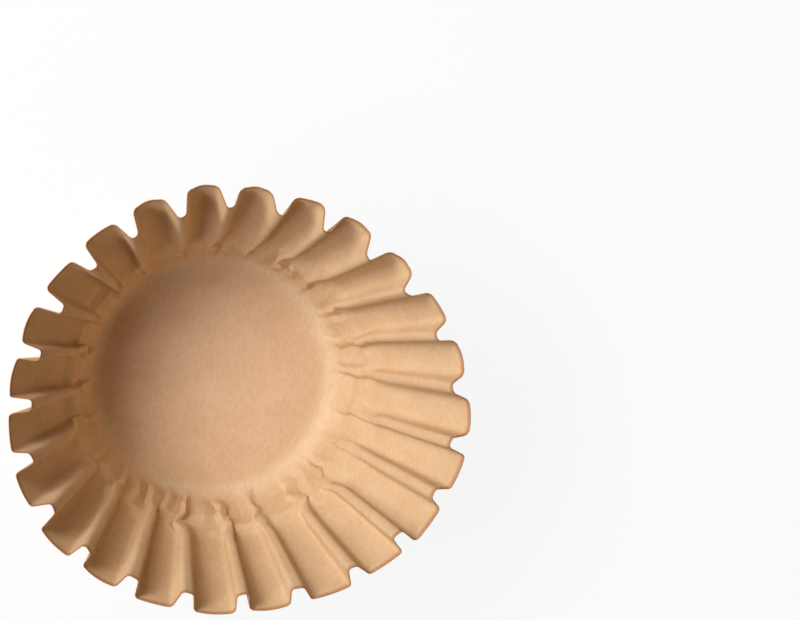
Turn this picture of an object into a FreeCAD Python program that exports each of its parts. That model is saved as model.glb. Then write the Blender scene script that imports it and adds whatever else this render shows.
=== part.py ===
import FreeCAD, Part
import math
import os

# A fluted basket filter: one round sheet of filter paper, pressed into a flat bottomed cup.
# Millimetres, and angles in radians. The origin is the middle of the underside and +Z goes out
# of the opening. Folded paper has straight lines, so the wall is made of flat panels.

# The sheet.
paper = 0.2             # thickness, measured level

# The cup, to the middle of the paper.
floor_dia = 74.0        # flat middle of the base
corner_radius = 6.0     # soft turn between the base and the wall
rim_dia = 143.0         # across the lobes at the rim
rim_height = 60.5       # the rim above the base, at a lobe

# The flutes. A lobe is the outer panel of a flute, and a ridge is the narrow fold between two lobes.
flutes = 24
rim_depth = 7.3         # from a lobe to a ridge at the rim, square to the wall
lobe_share = 0.66       # part of the pitch that a lobe takes
ridge_share = 0.19      # part of the pitch that a ridge takes
lobe_fold = 1.5         # bend along the edges of the lobes
ridge_fold = 1.3        # bend along the edges of the ridges

# The run-out, where the flutes give way to short creases just above the base.
runout = 20.0           # up the wall, from the corner
runout_depth = 3.4      # of the flutes at its top
crease_level = 12.0     # up the wall, where the creases turn
crease_depth = 2.0
crease_jog = 1.3        # how far each ridge steps aside there, every other one the other way
lobe_slack = 0.9        # how far the loose lobes lean inwards there
low_crease_level = 5.5  # where the creases turn back
low_crease_depth = 0.9
low_crease_jog = 0.8    # how far they step to the other side there

# The open rim doesn't stay quite round. These amounts are at the rim, and fade towards the base.
oval = 2.85             # wider along x and narrower along y
three_cornered = 1.6
three_cornered_way = math.radians(-16)
opened = 1.9            # further out on one side, where the flutes spread and get shallower
opened_way = math.radians(-61)
opened_spread = 0.9     # how far the flutes move apart there, against how far the rim moves out
opened_shallower = 0.08
slack_way = math.radians(60)  # the flutes on this side are slacker
slack_lobe = 0.10       # less of the pitch in a lobe there
slack_ridge = 0.04
slack_fold = 1.1        # larger bends there

# How finely the bends are made.
fold_strips = 2
corner_strips = 3

pitch = 2 * math.pi / flutes


def wall_lean():
    """The wall leans out from the vertical so that it leaves the corner without a kink and ends at the rim."""
    lean = 0.0
    for _ in range(30):
        out = rim_dia / 2 - floor_dia / 2 - corner_radius * math.cos(lean)
        rise = rim_height - corner_radius * (1 - math.sin(lean))
        lean = math.atan2(out, rise)
    return lean


lean = wall_lean()
turn = math.pi / 2 - lean
foot_radius = floor_dia / 2 + corner_radius * math.sin(turn)
foot_height = corner_radius * (1 - math.cos(turn))
wall = math.hypot(rim_dia / 2 - foot_radius, rim_height - foot_height)


class Level:
    """One way round the wall: how far up it, and what the flutes do there."""

    def __init__(self, up, depth, jog=0.0, slack=0.0):
        self.up = up
        self.depth = depth
        self.jog = jog
        self.slack = slack

    def folded_in(self, inward):
        """Radius and height of a point that is folded inwards and keeps its distance from the foot."""
        steeper = lean - inward / self.up
        return foot_radius + self.up * math.sin(steeper), foot_height + self.up * math.cos(steeper)


def at(radius, angle, z):
    return FreeCAD.Vector(radius * math.cos(angle), radius * math.sin(angle), z)


def slackness(angle):
    return max(0.0, math.cos(angle - slack_way))


def flat(v):
    """A direction seen from above, at length one."""
    return FreeCAD.Vector(v.x, v.y, 0).normalize()


def sharp_plan(level):
    """The corners of all the flutes at a level, counter-clockwise, from a lobe's first corner."""
    points = []
    lobe_radius, lobe_height = level.folded_in(level.slack)
    for i in range(flutes):
        lobe = i * pitch
        ridge = lobe + pitch / 2
        depth = level.depth * (1 - opened_shallower * math.cos(ridge - opened_way))
        ridge_radius, ridge_height = level.folded_in(level.slack + depth)
        half_lobe = (lobe_share - slack_lobe * slackness(lobe)) * pitch / 2
        half_ridge = (ridge_share - slack_ridge * slackness(ridge)) * pitch / 2
        ridge += level.jog / ridge_radius * (1 if i % 2 else -1)
        points += [at(lobe_radius, lobe + side * half_lobe, lobe_height) for side in (-1, 1)]
        points += [at(ridge_radius, ridge + side * half_ridge, ridge_height) for side in (-1, 1)]
    return points


def rounded(points):
    """The same plan with every corner bent to its fold's radius, as a few straight strips."""
    plan = []
    for i, corner in enumerate(points):
        fold_radius = lobe_fold if i % 4 < 2 else ridge_fold
        fold_radius *= 1 + slack_fold * slackness(math.atan2(corner.y, corner.x))
        before = points[i - 1] - corner
        after = points[(i + 1) % len(points)] - corner
        room = 0.4 * min(math.hypot(before.x, before.y), math.hypot(after.x, after.y))
        bend = math.pi - flat(before).getAngle(flat(after))
        reach = min(fold_radius * math.tan(bend / 2), room)
        start = corner + flat(before) * reach
        end = corner + flat(after) * reach
        for k in range(fold_strips + 1):
            share = k / fold_strips
            near = start * (1 - share) + corner * share
            far = corner * (1 - share) + end * share
            plan.append(near * (1 - share) + far * share)
    return plan


def skin_of(plan, offset):
    """A plan moved out by offset, with mitred corners."""
    moved = []
    for i, point in enumerate(plan):
        along = flat(point - plan[i - 1])
        onward = flat(plan[(i + 1) % len(plan)] - point)
        middle = flat(along + onward)
        out = FreeCAD.Vector(middle.y, -middle.x, 0)
        moved.append(point + out * (offset / middle.dot(along)))
    return moved


def corner_rings(plan, offset):
    """The soft turn from the floor to the foot of the wall, as circles under the points of a plan."""
    radius = corner_radius + offset
    rings = []
    for k in range(corner_strips + 1):
        a = turn * k / corner_strips
        out = floor_dia / 2 + radius * math.sin(a)
        z = corner_radius - radius * math.cos(a)
        rings.append([at(out, math.atan2(p.y, p.x), z) for p in plan])
    return rings


def as_it_lies(point):
    """Moves a point of the round cup to where it lies once the rim has opened out of round."""
    radius = math.hypot(point.x, point.y)
    angle = math.atan2(point.y, point.x)
    threes = 3 * (angle - three_cornered_way)
    out = oval * math.cos(2 * angle) + three_cornered * math.cos(threes) + opened * math.cos(angle - opened_way)
    along = (opened_spread * opened * math.sin(angle - opened_way)
             - oval * math.sin(2 * angle) / 2 - three_cornered * math.sin(threes) / 3)
    grown = point.z / rim_height
    return at(radius + out * grown, angle + along * grown / radius, point.z)


def triangle(a, b, c):
    return Part.Face(Part.makePolygon([a, b, c, a]))


def band(low, high):
    """Flat panels between two rings of points."""
    faces = []
    for i in range(len(low)):
        j = (i + 1) % len(low)
        faces.append(triangle(low[i], low[j], high[j]))
        faces.append(triangle(low[i], high[j], high[i]))
    return faces


def side_of_sheet(offset):
    """One side of the paper and its ring of rim points: +paper/2 is outside and -paper/2 inside."""
    plans = [rounded(sharp_plan(level)) for level in levels]
    rings = corner_rings(plans[0], offset) + [skin_of(plan, offset) for plan in plans]
    rings = [[as_it_lies(point) for point in ring] for ring in rings]
    faces = [Part.Face(Part.makePolygon(rings[0] + rings[0][:1]))]
    for low, high in zip(rings, rings[1:]):
        faces += band(low, high)
    return faces, rings[-1]


levels = [
    Level(low_crease_level, low_crease_depth, -low_crease_jog),
    Level(crease_level, crease_depth, crease_jog, lobe_slack),
    Level(runout, runout_depth),
    Level(wall, rim_depth),
]
outside, outer_rim = side_of_sheet(paper / 2)
inside, inner_rim = side_of_sheet(-paper / 2)

shell = Part.makeShell(outside + inside + band(outer_rim, inner_rim))
shell.sewShape()
basket = Part.makeSolid(Part.Shell(shell.Faces))
if basket.Volume < 0:
    basket.reverse()
basket.translate(FreeCAD.Vector(0, 0, paper / 2))

os.makedirs("parts", exist_ok=True)
basket.exportStep("parts/filter.step")

sheet_dia = floor_dia + 2 * (corner_radius * turn + wall)
rim_path = sum((outer_rim[i] - outer_rim[i - 1]).Length + (inner_rim[i] - inner_rim[i - 1]).Length
               for i in range(len(outer_rim))) / 2
print("flat sheet %.1f mm across and %.0f mm round, against a rim %.0f mm long"
      % (sheet_dia, math.pi * sheet_dia, rim_path))
print("solid valid %s, %d faces, volume %.1f mm3, box %s"
      % (basket.isValid(), len(basket.Faces), basket.Volume, basket.BoundBox))
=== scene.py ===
import bpy
import math
import numpy as np
from mathutils import Matrix, Vector

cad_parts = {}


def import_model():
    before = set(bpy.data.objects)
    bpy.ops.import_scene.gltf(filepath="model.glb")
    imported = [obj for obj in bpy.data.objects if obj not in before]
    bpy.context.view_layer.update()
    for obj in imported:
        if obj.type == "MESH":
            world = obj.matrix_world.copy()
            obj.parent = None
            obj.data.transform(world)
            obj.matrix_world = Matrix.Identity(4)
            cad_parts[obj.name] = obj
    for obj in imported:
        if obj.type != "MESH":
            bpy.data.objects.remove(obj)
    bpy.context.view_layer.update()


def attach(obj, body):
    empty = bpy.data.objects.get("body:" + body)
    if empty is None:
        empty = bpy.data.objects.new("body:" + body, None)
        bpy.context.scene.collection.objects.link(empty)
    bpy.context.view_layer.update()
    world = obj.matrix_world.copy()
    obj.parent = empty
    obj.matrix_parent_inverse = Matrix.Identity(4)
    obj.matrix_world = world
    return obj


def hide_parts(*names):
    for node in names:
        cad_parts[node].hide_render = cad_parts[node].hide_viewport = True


# A fluted paper basket filter, seen from above its mouth. Metres, and angles in radians.
# The sheet is followed from its middle outwards: flat base, soft corner, creased run-out, fluted wall.

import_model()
MM = 0.001

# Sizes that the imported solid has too. A lobe is the outer panel of a flute, and a ridge is the narrow
# fold between two lobes. The shares are of the pitch.
PAPER = 0.2 * MM
FLOOR_RADIUS = 37.0 * MM
CORNER_RADIUS = 6.0 * MM
RIM_RADIUS = 71.5 * MM
RIM_HEIGHT = 60.5 * MM
FLUTES = 24
LOBE_SHARE = 0.66
RIDGE_SHARE = 0.19
LOBE_FOLD = 1.5 * MM
RIDGE_FOLD = 1.3 * MM

# The open rim doesn't stay quite round, as in the solid. These amounts are at the rim, and fade
# towards the base.
OVAL = 2.85 * MM
THREE_CORNERED = 1.6 * MM
THREE_CORNERED_WAY = math.radians(-16)
OPENED = 1.9 * MM
OPENED_WAY = math.radians(-61)
OPENED_SPREAD = 0.9
OPENED_SHALLOWER = 0.08
SLACK_WAY = math.radians(60)
SLACK_LOBE = 0.10
SLACK_RIDGE = 0.04
SLACK_LOBE_FOLD = 1.1
SLACK_RIDGE_FOLD = 0.55

# How deep the flutes are, by how far up the wall from the corner.
DEPTH_UP = np.array([0.0, 6.0, 12.0, 17.0, 21.5, 27.0, 66.0]) * MM
DEPTH = np.array([0.0, 0.2, 0.7, 1.4, 3.2, 4.3, 7.3]) * MM

# Some flutes begin late, and those towards +x a little later still. They catch up between these
# distances up the wall.
LATER_ON_X_MM = 1.0
CATCH_UP = (20.0 * MM, 32.0 * MM)

# Each ridge steps aside on its way up to a level, every other one the other way, and comes back above it.
JOG = 1.6 * MM
JOG_LEVEL = 17.5 * MM
JOG_AT_FOOT = 0.35
JOG_BACK = 6.0 * MM

# How much one flute differs from the next, as the least and the most. The names that end in mm are
# lengths, and the others are factors, apart from aside, which is a part of the pitch.
FLUTE_SPREAD = {
    "aside": (-0.022, 0.022),
    "deeper": (0.94, 1.06),
    "lobe": (0.94, 1.05),
    "ridge": (0.85, 1.2),
    "lobe_fold": (0.7, 1.35),
    "bulge_mm": (0.1, 0.7),
    "late_mm": (-2.5, 2.5),
    "jog": (0.2, 1.3),
    "jog_level_mm": (-2.5, 4.0),
    "bow_mm": (-0.9, 0.9),
    "corner_out_mm": (-0.7, 0.7),
}

# The run-out, where short creases take over from the flutes just above the base. The creases meet at
# points in rows up the wall, so many to a flute. AT_RIDGE is the one on the ridge.
CREASE_POINTS = 5
AT_RIDGE = 4
CREASE_START = -4.05 * MM
CREASE_ROW = 5.4 * MM

# Row by row, how far the creases and the slack lobes stand inwards, and how freely the points move.
RIDGE_CREASE = np.array([0.0, 0.6, 1.6, 1.8, 1.2, 0.3, 0.0]) * MM
LOBE_CREASE = np.array([0.0, 0.5, 1.3, 1.2, 0.3, 0.0, 0.0]) * MM
LOBE_SLACK = np.array([0.0, 0.0, 0.3, 0.8, 1.1, 0.2, 0.0]) * MM
CREASE_FREEDOM = np.array([0.0, 0.6, 1.0, 1.0, 1.0, 0.5, 0.0])
CREASE_JOG = np.array([0.0, 0.0, 0.5, -0.8, 1.0, 0.3, 0.0])
CREASE_DRIFT = np.array([0.0, 1.0, 0.8, 0.3, 0.0, 0.0, 0.0])

# How much the points beside a crease follow it, how far the point on its steep side closes up to it, and
# the least gap between two points of a row, as a part of the usual one.
BESIDE_RIDGE = 0.45
BESIDE_LOBE = 0.5
BESIDE_JOG = 0.8
CLOSES_UP = 1.3 * MM
LEAST_GAP = 0.65

# How much the points of the run-out differ, in the same way as the flutes.
CREASE_SPREAD = {
    "slack": (0.2, 1.6),
    "inward_mm": (-0.05, 0.05),
    "ridge": (0.6, 1.35),
    "lobe": (-0.5, 1.5),
    "drift_mm": (-1.6, 1.6),
    "aside_mm": (-0.25, 0.25),
    "jog": (0.4, 1.3),
    "lobe_aside_mm": (-0.8, 0.8),
    "flute_up_mm": (-1.2, 1.2),
    "point_up_mm": (-0.6, 0.6),
}

# The base swells a little, in a few soft waves that end before the corner.
SWELL = 0.35 * MM
SWELL_RING = 8.0 * MM
SWELL_WAVES = (8, 9)
SWELL_ENDS = (28.0 * MM, FLOOR_RADIUS)

# The mesh. Its rows and columns fall on the crease points. The columns are spread evenly low down, and
# come to keep to the folds between the distances TO_THE_FOLDS up the wall.
BASE_ROWS = np.array([0.0, 12.0, 22.0, 30.0, 34.5]) * MM
CORNER_ROWS = 5
ROWS_PER_CREASE = 8
LOW_ROWS = 40
HIGH_ROWS = 15
FLAT_STEPS = (9, 3, 3, 3)   # along the lobe, side, ridge and side of a flute
BEND_STEPS = 3              # along each bend between them
BEND_FULLNESS = 0.72        # of an even curve between its two ends and its sharp corner
BEND_ROOM = 0.44            # the most that a bend takes of the flat beside it
COLUMNS = (sum(FLAT_STEPS) + len(FLAT_STEPS) * BEND_STEPS) * FLUTES
TO_THE_FOLDS = (13.0 * MM, 24.0 * MM)
SHARP_FROM = math.radians(60)
PER_DM = 10                 # the textures are laid out on the flat sheet in decimetres

# The camera, from the photograph.
CAMERA_AT = Vector((-0.12750, 0.10198, 0.8749))
CAMERA_RIGHT = Vector((0.97339, 0.10779, 0.20221))
CAMERA_DOWN = Vector((0.08839, -0.99078, 0.10270))
CAMERA_FOCAL_PX = 2600.0
CAMERA_SENSOR_MM = 36.0
CAMERA_CLIP_START = 0.05
PHOTO_WIDTH = 800

# The lamps stand round the middle of the filter. For each: the way round from the picture's right over its
# top, the rise in front of the picture (past 90 it comes down on the other side), both in degrees, and
# then its size, power and colour.
LIT = Vector((0, 0, 0.03))
LAMP_AWAY = 0.9
LAMPS = {
    "key_0": (110, 57.3, (0.3, 0.34), 1.7, (1.0, 0.92, 0.78)),
    "key_1": (152, 57.3, (0.42, 0.34), 5.8, (0.95, 0.975, 1.0)),
    "key_2": (203, 57.3, (0.35, 0.34), 3.05, (0.95, 0.975, 1.0)),
    "fill": (155, 160, (0.45, 0.35), 0.85, (1.0, 0.82, 0.55)),
}
WORLD_LIGHT = 0.04

# The floor is a grey that the light sees, and mostly plain white where the camera looks.
FLOOR_SIZE = 6.0
FLOOR_GREY = (0.86, 0.86, 0.86, 1)
FLOOR_ROUGHNESS = 0.9
FLOOR_SHOWN_WHITE = 0.9

rng = np.random.RandomState(7)


def spread(table, what, *shape):
    """Random values between the least and the most that a table gives, one for each flute or in a shape."""
    return rng.uniform(*table[what], shape or FLUTES)


def smooth(x, low, high):
    """Goes from 0 at low to 1 at high, without a kink."""
    t = np.clip((x - low) / (high - low), 0, 1)
    return t * t * (3 - 2 * t)


def wall_shape():
    """The wall's lean, the corner's turn, where the wall starts above the corner, and how long it is."""
    lean = 0.0
    for _ in range(30):
        out = RIM_RADIUS - FLOOR_RADIUS - CORNER_RADIUS * math.cos(lean)
        rise = RIM_HEIGHT - CORNER_RADIUS * (1 - math.sin(lean))
        lean = math.atan2(out, rise)
    turn = math.pi / 2 - lean
    foot = (FLOOR_RADIUS + CORNER_RADIUS * math.sin(turn), CORNER_RADIUS * (1 - math.cos(turn)))
    length = math.hypot(RIM_RADIUS - foot[0], RIM_HEIGHT - foot[1])
    return lean, turn, foot, length


LEAN, TURN, FOOT, WALL = wall_shape()
SHEET_RADIUS = FLOOR_RADIUS + CORNER_RADIUS * TURN + WALL
PITCH = 2 * math.pi / FLUTES


class Flutes:
    """What differs from one flute to the next."""

    def __init__(self):
        def vary(what, *shape):
            return spread(FLUTE_SPREAD, what, *shape)

        lobe_at = 2 * math.pi * np.arange(FLUTES) / FLUTES
        slack = np.maximum(0, np.cos(lobe_at - SLACK_WAY))
        every_other = np.where(np.arange(FLUTES) % 2 == 0, 1.0, -1.0)
        self.aside = vary("aside")
        self.deeper = vary("deeper") * (1 - OPENED_SHALLOWER * np.cos(lobe_at - OPENED_WAY))
        self.lobe = (LOBE_SHARE - SLACK_LOBE * slack) * vary("lobe")
        self.ridge = (RIDGE_SHARE - SLACK_RIDGE * slack) * vary("ridge")
        self.lobe_fold = LOBE_FOLD * (1 + SLACK_LOBE_FOLD * slack) * vary("lobe_fold")
        self.ridge_fold = RIDGE_FOLD * (1 + SLACK_RIDGE_FOLD * slack)
        self.bulge = vary("bulge_mm") * MM
        self.late = (vary("late_mm") + LATER_ON_X_MM * np.cos(lobe_at)) * MM
        self.jog = JOG * every_other * vary("jog")
        self.jog_level = JOG_LEVEL + vary("jog_level_mm") * MM
        self.bow = vary("bow_mm") * MM
        self.corner_out = vary("corner_out_mm", FLUTES, 4) * MM


FL = Flutes()


def corner_points(up):
    """The sharp corners of the flutes at one level up the wall: two of each lobe, then two of its ridge."""
    late = FL.late * (1 - smooth(up, *CATCH_UP))
    depth = np.interp(up - late, DEPTH_UP, DEPTH) * FL.deeper
    grown = up / WALL
    stepping = JOG_AT_FOOT + (1 - JOG_AT_FOOT) * up / FL.jog_level
    coming_back = np.clip(1 - (up - FL.jog_level) / JOG_BACK, 0, 1)
    jog = FL.jog * np.where(up < FL.jog_level, stepping, coming_back)
    bow = FL.bow * math.sin(math.pi * grown)
    points = []
    for i in range(FLUTES):
        lobe = (i + FL.aside[i] * 2) * PITCH
        ridge = (i + 0.5 + FL.aside[i] + FL.aside[(i + 1) % FLUTES]) * PITCH
        panels = ((lobe, FL.lobe[i], 0.0, 0.0), (ridge, FL.ridge[i], depth[i], jog[i] + bow[i]))
        for k, (middle, share, inward, shift) in enumerate(panels):
            for side in (0, 1):
                lean = LEAN - (inward - FL.corner_out[i, 2 * k + side] * grown ** 2) / up
                radius = FOOT[0] + up * math.sin(lean)
                angle = middle + (2 * side - 1) * share * PITCH / 2 + shift / radius
                height = FOOT[1] + up * math.cos(lean)
                points.append((radius * math.cos(angle), radius * math.sin(angle), height))
    return np.array(points)


def out_of_wall(angle):
    """The way out of the cup, square to the wall."""
    return np.array([math.cos(angle) * math.cos(LEAN), math.sin(angle) * math.cos(LEAN), -math.sin(LEAN)])


def folded_ring(up):
    """One way round the wall: the corners rounded into bends, with the flats between them."""
    corners = corner_points(up)
    before = np.roll(corners, 1, axis=0) - corners
    after = np.roll(corners, -1, axis=0) - corners
    len_before = np.linalg.norm(before, axis=1, keepdims=True)
    len_after = np.linalg.norm(after, axis=1, keepdims=True)
    before, after = before / len_before, after / len_after
    bend = np.pi - np.arccos(np.clip((before * after).sum(1), -1, 1))
    fold = np.stack([FL.lobe_fold, FL.lobe_fold, FL.ridge_fold, FL.ridge_fold], -1).ravel()
    room = BEND_ROOM * np.minimum(len_after, len_before)[:, 0]
    reach = np.minimum(fold * np.tan(bend / 2), room)[:, None]
    start, end = corners + before * reach, corners + after * reach
    points = []
    for k, corner in enumerate(corners):
        for s in range(BEND_STEPS + 1):
            t = s / BEND_STEPS
            w = np.array([(1 - t) ** 2, 2 * BEND_FULLNESS * t * (1 - t), t * t])
            points.append((w[0] * start[k] + w[1] * corner + w[2] * end[k]) / w.sum())
        flute, flat = divmod(k, 4)
        following = start[(k + 1) % len(corners)]
        bulge = FL.bulge[flute] * up / WALL if flat == 0 else 0.0
        out = out_of_wall(math.atan2(corner[1], corner[0]))
        for s in range(1, FLAT_STEPS[flat]):
            t = s / FLAT_STEPS[flat]
            points.append(end[k] + (following - end[k]) * t + bulge * 4 * t * (1 - t) * out)
    return np.array(points)


def wall_rows():
    """How far up the wall each row of the mesh lies: close rows in the run-out, and wider ones above it."""
    low = np.arange(1, LOW_ROWS + 1) * CREASE_ROW / ROWS_PER_CREASE
    high = np.linspace(low[-1], WALL, HIGH_ROWS + 1)[1:]
    return np.concatenate([low, high])


def wall_points(ups):
    """The wall, ring by ring. With each point goes its share of the way round."""
    rings, shares = [], []
    even = np.arange(COLUMNS + 1) / COLUMNS
    for up in ups:
        ring = folded_ring(up)
        ring = np.concatenate([ring, ring[:1]])
        way = np.concatenate([[0], np.cumsum(np.linalg.norm(np.diff(ring, axis=0), axis=1))])
        way /= way[-1]
        kept = smooth(up, *TO_THE_FOLDS)
        share = (way * kept + even * (1 - kept))[:-1]
        rings.append(np.stack([np.interp(share, way, ring[:, k]) for k in range(3)], -1))
        shares.append(share)
    return np.array(rings), np.array(shares)


def cell(table, across, row):
    """The four values round a place in a table that repeats across, and where in the cell the place is."""
    rows, columns = table.shape
    row = np.clip(row, 0, rows - 1.001)     # the last row ends the cell below it
    i, j = np.floor(row).astype(int), np.floor(across).astype(int)
    here, onward = j % columns, (j + 1) % columns
    values = table[i, here], table[i, onward], table[i + 1, here], table[i + 1, onward]
    return values, across - j, row - i, (i + j) % 2 == 0


def read_smoothly(table, across, row):
    """Values from a table, without kinks between its cells."""
    (a, b, c, d), x, y, _ = cell(table, across, row)
    x, y = x * x * (3 - 2 * x), y * y * (3 - 2 * y)
    return (a * (1 - x) + b * x) * (1 - y) + (c * (1 - x) + d * x) * y


def read_as_facets(table, across, row):
    """Values from a table, as flat triangles between its points."""
    (a, b, c, d), x, y, even = cell(table, across, row)
    falling = np.where(x > y, a + (b - a) * x + (d - b) * y, a + (d - c) * x + (c - a) * y)
    rising = np.where(x + y < 1, a + (b - a) * x + (c - a) * y, d + (c - d) * (1 - x) + (b - d) * (1 - y))
    return np.where(even, falling, rising)


def kept_apart(aside, spacing):
    """Moves neighbouring points of each row apart where they would come too close or change places."""
    for _ in range(20):
        short = np.maximum(0, LEAST_GAP * spacing - (spacing + np.roll(aside, -1, axis=1) - aside))
        aside = aside + (np.roll(short, 1, axis=1) - short) / 2
    return aside


class RunOut:
    """Short creases between the base and the flutes. They meet at points, and the paper between is flat."""

    def __init__(self):
        def vary(what, *shape):
            return spread(CREASE_SPREAD, what, *shape)

        rows = len(RIDGE_CREASE)
        each, flute = (rows, FLUTES, CREASE_POINTS), (rows, FLUTES, 1)
        free = CREASE_FREEDOM[:, None, None]
        own = np.arange(FLUTES)
        before, after = AT_RIDGE - 1, (AT_RIDGE + 1) % CREASE_POINTS

        # Inwards: slack lobes, a crease along each ridge with its steep side before or after it, and a
        # crease in some lobes.
        inward = LOBE_SLACK[:, None, None] * vary("slack", *flute) + free * vary("inward_mm", *each) * MM
        ridge = RIDGE_CREASE[:, None] * vary("ridge", rows, FLUTES)
        steep_before = rng.uniform(0, 1, FLUTES) < 0.5
        inward[:, :, AT_RIDGE] += ridge
        inward[:, :, before] += BESIDE_RIDGE * ridge * ~steep_before
        inward[:, :, after] += BESIDE_RIDGE * np.roll(ridge * steep_before, 1, axis=1)
        lobe = LOBE_CREASE[:, None] * np.maximum(vary("lobe"), 0)
        in_lobe = rng.randint(1, 3, FLUTES)
        inward[:, own, in_lobe] += lobe
        inward[:, own, 3 - in_lobe] += BESIDE_LOBE * lobe

        # Round: whole flutes drift, and the creases step aside from row to row.
        drift = CREASE_DRIFT[:, None, None] * vary("drift_mm", 1, FLUTES, 1)
        aside = (drift + free * vary("aside_mm", *each)) * MM
        jog = CREASE_JOG[:, None] * FL.jog * vary("jog", rows, FLUTES)
        close = CLOSES_UP * CREASE_FREEDOM[:, None]
        aside[:, :, AT_RIDGE] += jog
        aside[:, :, before] += BESIDE_JOG * jog + close * steep_before
        aside[:, :, after] += np.roll(BESIDE_JOG * jog - close * ~steep_before, 1, axis=1)
        aside[:, own, in_lobe] += free[:, 0] * vary("lobe_aside_mm", rows, FLUTES) * MM

        raised = free * (vary("flute_up_mm", *flute) + vary("point_up_mm", *each)) * MM
        radius = FOOT[0] + (np.arange(rows)[:, None] * CREASE_ROW + CREASE_START) * math.sin(LEAN)
        self.inward = inward.reshape(rows, -1)
        self.aside = kept_apart(aside.reshape(rows, -1) / radius, 2 * math.pi / (FLUTES * CREASE_POINTS))
        self.raised = raised.reshape(rows, -1)

    def at(self, up, share):
        """How far the paper is moved inwards, round and up, the second as an angle."""
        across = share * FLUTES * CREASE_POINTS
        row = (up - CREASE_START) / CREASE_ROW
        return [read_as_facets(table, across, row) for table in (self.inward, self.aside, self.raised)]


def base_and_corner(turns):
    """The flat base and the soft corner below the lowest ring of the wall, along the same angles."""
    corner = TURN * np.arange(CORNER_ROWS) / CORNER_ROWS
    low = [(radius, 0.0) for radius in BASE_ROWS]
    low += [(FLOOR_RADIUS + CORNER_RADIUS * math.sin(a), CORNER_RADIUS * (1 - math.cos(a))) for a in corner]
    grid = np.array([[(r * math.cos(a), r * math.sin(a), z) for a in turns] for r, z in low])
    from_axis = np.hypot(grid[..., 0], grid[..., 1])
    across = np.arctan2(grid[..., 1], grid[..., 0]) / (2 * np.pi) * SWELL_WAVES[1]
    swell = read_smoothly(rng.uniform(0, 1, SWELL_WAVES), across, from_axis / SWELL_RING)
    grid[..., 2] += SWELL * swell * (1 - smooth(from_axis, *SWELL_ENDS))
    ups = np.concatenate([BASE_ROWS - FLOOR_RADIUS - CORNER_RADIUS * TURN, CORNER_RADIUS * (corner - TURN)])
    return grid, ups


def sheet_grid():
    """The middle of the paper, row by row outwards, and where each point was on the flat sheet."""
    wall_ups = wall_rows()
    wall, wall_share = wall_points(wall_ups)
    low, low_ups = base_and_corner(np.arctan2(wall[0, :, 1], wall[0, :, 0]))
    grid = np.concatenate([low, wall])
    share = np.concatenate([np.repeat(wall_share[:1], len(low), axis=0), wall_share])
    ups = np.concatenate([low_ups, wall_ups])[:, None]

    # The run-out begins on the corner, so inwards and up turn with the slope of the paper.
    slope = np.clip(TURN + ups / CORNER_RADIUS, 0, TURN)
    inward, aside, raised = RunOut().at(ups, share)
    around = np.arctan2(grid[..., 1], grid[..., 0]) + aside
    radius = np.hypot(grid[..., 0], grid[..., 1]) - inward * np.sin(slope) + raised * np.cos(slope)
    height = grid[..., 2] + inward * np.cos(slope) + raised * np.sin(slope)
    grid = np.stack([radius * np.cos(around), radius * np.sin(around), height], -1)

    on_sheet = FLOOR_RADIUS + CORNER_RADIUS * TURN + ups
    turn = 2 * np.pi * share
    return grid, np.stack([on_sheet * np.cos(turn), on_sheet * np.sin(turn)], -1)


def as_it_lies(grid):
    """The cup once its rim has opened out of round, by an amount that grows with height."""
    x, y, z = grid[..., 0], grid[..., 1], grid[..., 2]
    turn, radius = np.arctan2(y, x), np.hypot(x, y)
    threes = 3 * (turn - THREE_CORNERED_WAY)
    out = OVAL * np.cos(2 * turn) + THREE_CORNERED * np.cos(threes) + OPENED * np.cos(turn - OPENED_WAY)
    along = (OPENED_SPREAD * OPENED * np.sin(turn - OPENED_WAY)
             - OVAL * np.sin(2 * turn) / 2 - THREE_CORNERED * np.sin(threes) / 3)
    grown = np.maximum(z / RIM_HEIGHT, 0)
    radius2 = radius + out * grown
    turn2 = turn + along * grown / np.maximum(radius, 1 * MM)
    return np.stack([radius2 * np.cos(turn2), radius2 * np.sin(turn2), z], -1)


def unit(v):
    return v / np.maximum(np.linalg.norm(v, axis=-1, keepdims=True), 1e-12)


def normals(grid):
    """Unit vectors out of the cup, evened out a little so that the two sides of a tight fold stay apart."""
    round_way = np.roll(grid, -1, axis=1) - np.roll(grid, 1, axis=1)
    up_way = np.gradient(grid, axis=0)
    n = unit(np.cross(round_way, up_way))
    for _ in range(2):
        n = unit(np.roll(n, 1, axis=1) + 2 * n + np.roll(n, -1, axis=1))
    n[0] = (0, 0, -1)
    return n


def skin_faces(first, rows):
    """The faces of one side of the sheet, which starts with its middle point, and its ring of rim points."""
    ids = first + 1 + np.arange((rows - 1) * COLUMNS).reshape(rows - 1, COLUMNS)
    onward = np.roll(ids, -1, axis=1)
    fan = np.stack([np.full(COLUMNS, first), onward[0], ids[0]], -1)
    quads = np.stack([ids[:-1], onward[:-1], onward[1:], ids[1:]], -1).reshape(-1, 4)
    return fan, quads, ids[-1]


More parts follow.
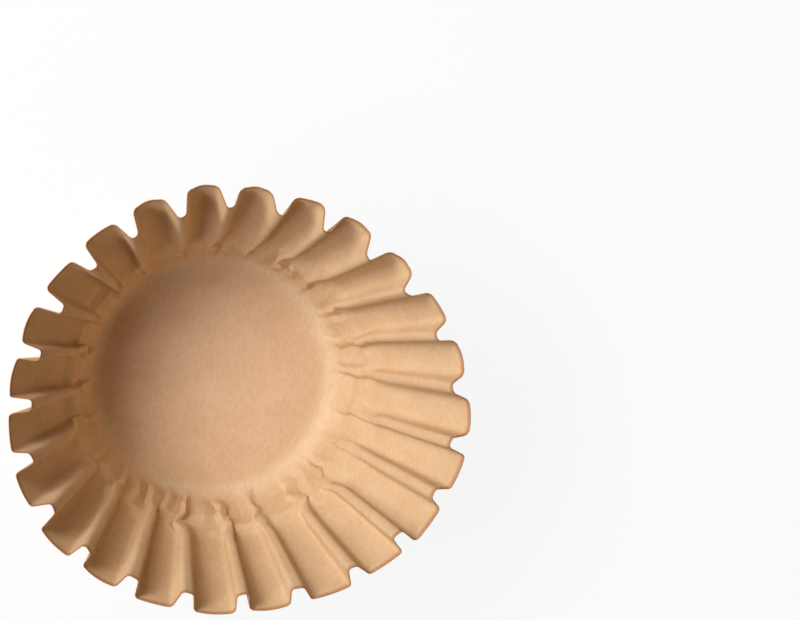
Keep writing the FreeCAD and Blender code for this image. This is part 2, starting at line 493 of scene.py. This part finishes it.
def closed_sheet(name):
    """The folded sheet as one closed mesh with its true thickness."""
    grid, flat = sheet_grid()
    grid = as_it_lies(grid)
    out = normals(grid)
    grid[..., 2] += PAPER / 2
    verts, faces, rims = [], [], []
    for skin, order in ((grid + out * PAPER / 2, 1), (grid - out * PAPER / 2, -1)):
        fan, quads, rim = skin_faces(len(verts), len(grid))
        verts += [skin[0].mean(axis=0).tolist()] + skin[1:].reshape(-1, 3).tolist()
        faces += fan[:, ::order].tolist() + quads[:, ::order].tolist()
        rims.append(rim)
    faces += np.stack([rims[0], np.roll(rims[0], -1), np.roll(rims[1], -1), rims[1]], -1).tolist()
    mesh = bpy.data.meshes.new(name)
    mesh.from_pydata(verts, [], faces)
    mesh.update()

    on_sheet = np.vstack([np.zeros((1, 2)), flat[1:].reshape(-1, 2)]) * PER_DM
    on_sheet = np.column_stack([on_sheet, np.zeros(len(on_sheet))]).astype(np.float32)
    where = mesh.attributes.new("sheet", "FLOAT_VECTOR", "POINT")
    where.data.foreach_set("vector", np.concatenate([on_sheet, on_sheet]).ravel())
    slots = np.zeros(len(faces), dtype=np.int32)
    slots[-COLUMNS:] = 1
    mesh.polygons.foreach_set("material_index", slots)
    mesh.polygons.foreach_set("use_smooth", np.ones(len(faces), dtype=bool))
    mesh.set_sharp_from_angle(angle=SHARP_FROM)
    obj = bpy.data.objects.new(name, mesh)
    bpy.context.scene.collection.objects.link(obj)
    return obj


def srgb(r, g, b):
    """A colour as read from a picture, 0 to 255, as linear light."""
    shown = [c / 255 for c in (r, g, b)]
    return (*(c / 12.92 if c <= 0.04045 else ((c + 0.055) / 1.055) ** 2.4 for c in shown), 1)


# The paper's colours: light and middle for the cloudy pulp, dark for the fibres and flecks.
PAPER_COLOURS = (srgb(222, 189, 152), srgb(216, 181, 143), srgb(168, 122, 80))
CUT_COLOURS = (srgb(232, 172, 126), srgb(222, 160, 114), srgb(190, 126, 84))

# The noise of each: scale, detail, roughness and distortion. Fibres and crepe are drawn out and turned.
CLOUD = (7.0, 4.0, 0.6)
FIBRE = (75.0, 5.0, 0.65, 0.6)
FLECK = (130.0, 2.0, 0.5)
CREPE = (160.0, 2.0, 0.5)
FIBRE_WAY = ((1.0, 0.6, 1.0), 0.5)
CREPE_WAY = ((0.12, 1.0, 1.0), 0.1)

# Between which values of the noise the pulp, the fibres and the flecks show, and how strongly.
PULP_SPAN = (0.36, 0.66)
FIBRE_SPAN = (0.4, 0.72)
FLECK_SPAN = (0.66, 0.78)
FIBRES_SHOW = 0.22
FLECKS_SHOW = 0.35

# The base is a little pinker than the wall, a painted tint of light bounced inside the cup, and the wall a
# little yellower.
# The soft corner is paler, a painted highlight. A darker tint lies along the rim.
# They change at these distances from the middle of the flat sheet.
# Painted bounce light: the base's pinker tint.
BASE_PAINTED_BOUNCE = (1.0, 0.96, 0.995, 1.0)
# Painted highlight: the soft corner's paler band.
CORNER_PAINTED_HIGHLIGHT = (1.0, 1.045, 1.09, 1.0)
WALL_TONE = (0.975, 0.965, 0.915, 1.0)
RIM_TINT = srgb(176, 112, 68)
RIM_TINT_SHOWS = 0.65
BASE_TO_WALL = (FLOOR_RADIUS - 8 * MM, FLOOR_RADIUS + 14 * MM)
HIGHLIGHT_COMES = (FLOOR_RADIUS - 3.0 * MM, FLOOR_RADIUS + 3.5 * MM)
HIGHLIGHT_GOES = (FLOOR_RADIUS + 3.5 * MM, FLOOR_RADIUS + 13.0 * MM)
RIM_COMES = (SHEET_RADIUS - 1.8 * MM, SHEET_RADIUS - 0.9 * MM)

# The surface: how rough it is, how its crepe stands out against the fibres, and how both do in all.
ROUGHNESS = 0.88
SPECULAR = 0.25
CREPE_HEIGHT = 0.35
BUMP_STRENGTH = 0.35
BUMP_DISTANCE = 0.12 * MM


class Nodes:
    """A short way to add and join the nodes of a tree."""

    def __init__(self, tree):
        self.tree = tree

    def add(self, kind, inputs=(), **settings):
        node = self.tree.nodes.new(kind)
        for key, value in settings.items():
            setattr(node, key, value)
        for key, value in dict(inputs).items():
            self.join(value, node.inputs[key])
        return node

    def join(self, value, socket):
        if isinstance(value, bpy.types.NodeSocket):
            self.tree.links.new(value, socket)
        else:
            socket.default_value = value

    def calc(self, operation, *values):
        return self.add("ShaderNodeMath", enumerate(values), operation=operation).outputs["Value"]

    def noise(self, vector, scale, detail, roughness, distortion=0.0):
        inputs = {"Vector": vector, "Scale": scale, "Detail": detail, "Roughness": roughness,
                  "Distortion": distortion}
        return self.add("ShaderNodeTexNoise", inputs).outputs["Fac"]

    def turned(self, vector, scale, turn):
        inputs = {"Vector": vector, "Scale": scale, "Rotation": (0.0, 0.0, turn)}
        return self.add("ShaderNodeMapping", inputs).outputs["Vector"]

    def ramp(self, value, span, ends=(0.0, 1.0), **settings):
        inputs = {"Value": value, "From Min": span[0], "From Max": span[1],
                  "To Min": ends[0], "To Max": ends[1]}
        return self.add("ShaderNodeMapRange", inputs, **settings).outputs["Result"]

    def mix(self, factor, a, b, **settings):
        inputs = {"Factor": factor, "A": a, "B": b}
        return self.add("ShaderNodeMix", inputs, data_type="RGBA", **settings).outputs["Result"]


def paper_tone(n, sheet):
    """The tone of the base (a painted tint of bounced light), the corner (a painted highlight) and the wall,
    and how much of the rim's tint there is.
    """
    from_middle = n.add("ShaderNodeVectorMath", {0: sheet}, operation="LENGTH").outputs["Value"]

    def zone(span, *ends, **settings):
        return n.ramp(from_middle, [PER_DM * distance for distance in span], *ends, **settings)

    # The base's tone carries painted bounce light.
    tone = n.mix(zone(BASE_TO_WALL), BASE_PAINTED_BOUNCE, WALL_TONE)
    # Painted highlight: a paler band on the soft corner.
    comes = zone(HIGHLIGHT_COMES, interpolation_type="SMOOTHSTEP")
    goes = zone(HIGHLIGHT_GOES, (1.0, 0.0), interpolation_type="SMOOTHSTEP")
    tone = n.mix(n.calc("MULTIPLY", comes, goes), tone, CORNER_PAINTED_HIGHLIGHT)
    return tone, zone(RIM_COMES, (0.0, RIM_TINT_SHOWS))


def paper_material(name, light, middle, dark):
    """Unbleached filter paper: cloudy pulp, short fibres, flecks and a fine crepe across the sheet."""
    material = bpy.data.materials.new(name)
    material.use_nodes = True
    n = Nodes(material.node_tree)
    sheet = n.add("ShaderNodeAttribute", attribute_name="sheet").outputs["Vector"]
    cloud = n.noise(sheet, *CLOUD)
    fibre = n.noise(n.turned(sheet, *FIBRE_WAY), *FIBRE)
    fleck = n.noise(sheet, *FLECK)
    crepe = n.noise(n.turned(sheet, *CREPE_WAY), *CREPE)

    pulp = n.add("ShaderNodeValToRGB", {"Fac": cloud})
    for element, position, colour in zip(pulp.color_ramp.elements, PULP_SPAN, (middle, light)):
        element.position = position
        element.color = colour
    colour = n.mix(n.ramp(fibre, FIBRE_SPAN, (0.0, FIBRES_SHOW)), pulp.outputs["Color"], dark)
    colour = n.mix(n.ramp(fleck, FLECK_SPAN, (0.0, FLECKS_SHOW)), colour, dark)
    tone, rim = paper_tone(n, sheet)
    colour = n.mix(rim, n.mix(1.0, colour, tone, blend_type="MULTIPLY"), RIM_TINT)

    height = n.calc("MULTIPLY_ADD", crepe, CREPE_HEIGHT, fibre)
    bump = n.add("ShaderNodeBump", {"Height": height, "Strength": BUMP_STRENGTH, "Distance": BUMP_DISTANCE})
    shader = n.tree.nodes["Principled BSDF"]
    n.join(colour, shader.inputs["Base Color"])
    n.join(bump.outputs["Normal"], shader.inputs["Normal"])
    shader.inputs["Roughness"].default_value = ROUGHNESS
    shader.inputs["Specular IOR Level"].default_value = SPECULAR
    return material


def picture_axes():
    """The picture's right and up, and the way back to the camera, square to each other."""
    right, up = CAMERA_RIGHT.normalized(), -CAMERA_DOWN.normalized()
    back = right.cross(up).normalized()
    return right, back.cross(right), back


RIGHT, UP, BACK = picture_axes()


def placed(name, data, at, right, up, back):
    """Adds a camera or a lamp with these three axes. It looks away from back."""
    obj = bpy.data.objects.new(name, data)
    obj.matrix_world = Matrix.Translation(at) @ Matrix((right, up, back)).transposed().to_4x4()
    bpy.context.scene.collection.objects.link(obj)
    return obj


def lamp(name, turn, rise, size, power, colour):
    """An area light that faces the filter, with its width along the way round."""
    turn, rise = math.radians(turn), math.radians(rise)
    data = bpy.data.lights.new(name, "AREA")
    data.shape = "ELLIPSE"
    data.size, data.size_y = size
    data.energy = power
    data.color = colour
    aside = RIGHT * math.cos(turn) + UP * math.sin(turn)
    at = LIT + (aside * math.cos(rise) + BACK * math.sin(rise)) * LAMP_AWAY
    back = (at - LIT).normalized()
    along = BACK.cross(aside)
    width = (along - back * along.dot(back)).normalized()
    placed(name, data, at, width, back.cross(width), back)


def camera():
    data = bpy.data.cameras.new("camera")
    data.sensor_width = CAMERA_SENSOR_MM
    data.lens = CAMERA_FOCAL_PX / PHOTO_WIDTH * CAMERA_SENSOR_MM
    data.clip_start = CAMERA_CLIP_START
    bpy.context.scene.camera = placed("camera", data, CAMERA_AT, RIGHT, UP, BACK)


def seen_directly(n):
    """1 where the camera looks, in mirrors and through glass too, and 0 for all other light."""
    path = n.add("ShaderNodeLightPath").outputs
    seen = n.calc("MAXIMUM", path["Is Camera Ray"], path["Is Glossy Ray"])
    return n.calc("MAXIMUM", seen, path["Is Transmission Ray"])


def stage():
    """A white floor that keeps the shadow."""
    bpy.ops.mesh.primitive_plane_add(size=FLOOR_SIZE, location=(0, 0, 0))
    floor = bpy.context.object
    floor.name = "floor"
    material = bpy.data.materials.new("floor_white")
    material.use_nodes = True
    n = Nodes(material.node_tree)
    shader = n.tree.nodes["Principled BSDF"]
    shader.inputs["Base Color"].default_value = FLOOR_GREY
    shader.inputs["Roughness"].default_value = FLOOR_ROUGHNESS
    part = n.calc("MULTIPLY", seen_directly(n), FLOOR_SHOWN_WHITE)
    white = n.add("ShaderNodeEmission")
    mix = n.add("ShaderNodeMixShader", {"Fac": part, 1: shader.outputs["BSDF"], 2: white.outputs["Emission"]})
    n.join(mix.outputs["Shader"], n.tree.nodes["Material Output"].inputs["Surface"])
    floor.data.materials.append(material)


def world():
    """A faint even light that shows as plain white behind the floor."""
    bpy.context.scene.world = bpy.data.worlds.new("world")
    bpy.context.scene.world.use_nodes = True
    n = Nodes(bpy.context.scene.world.node_tree)
    n.tree.nodes.clear()
    strength = n.ramp(seen_directly(n), (0.0, 1.0), (WORLD_LIGHT, 1.0))
    background = n.add("ShaderNodeBackground", {"Color": (1, 1, 1, 1), "Strength": strength})
    n.add("ShaderNodeOutputWorld", {"Surface": background.outputs["Background"]})


# The filter.
sheet = closed_sheet("filter_sheet")
sheet.data.materials.append(paper_material("filter_paper", *PAPER_COLOURS))
sheet.data.materials.append(paper_material("cut_edge", *CUT_COLOURS))
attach(sheet, "root")
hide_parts("filter")

# Camera, light and floor.
camera()
for name, settings in LAMPS.items():
    lamp(name, *settings)
world()
stage()

bpy.context.scene.view_settings.view_transform = "Standard"
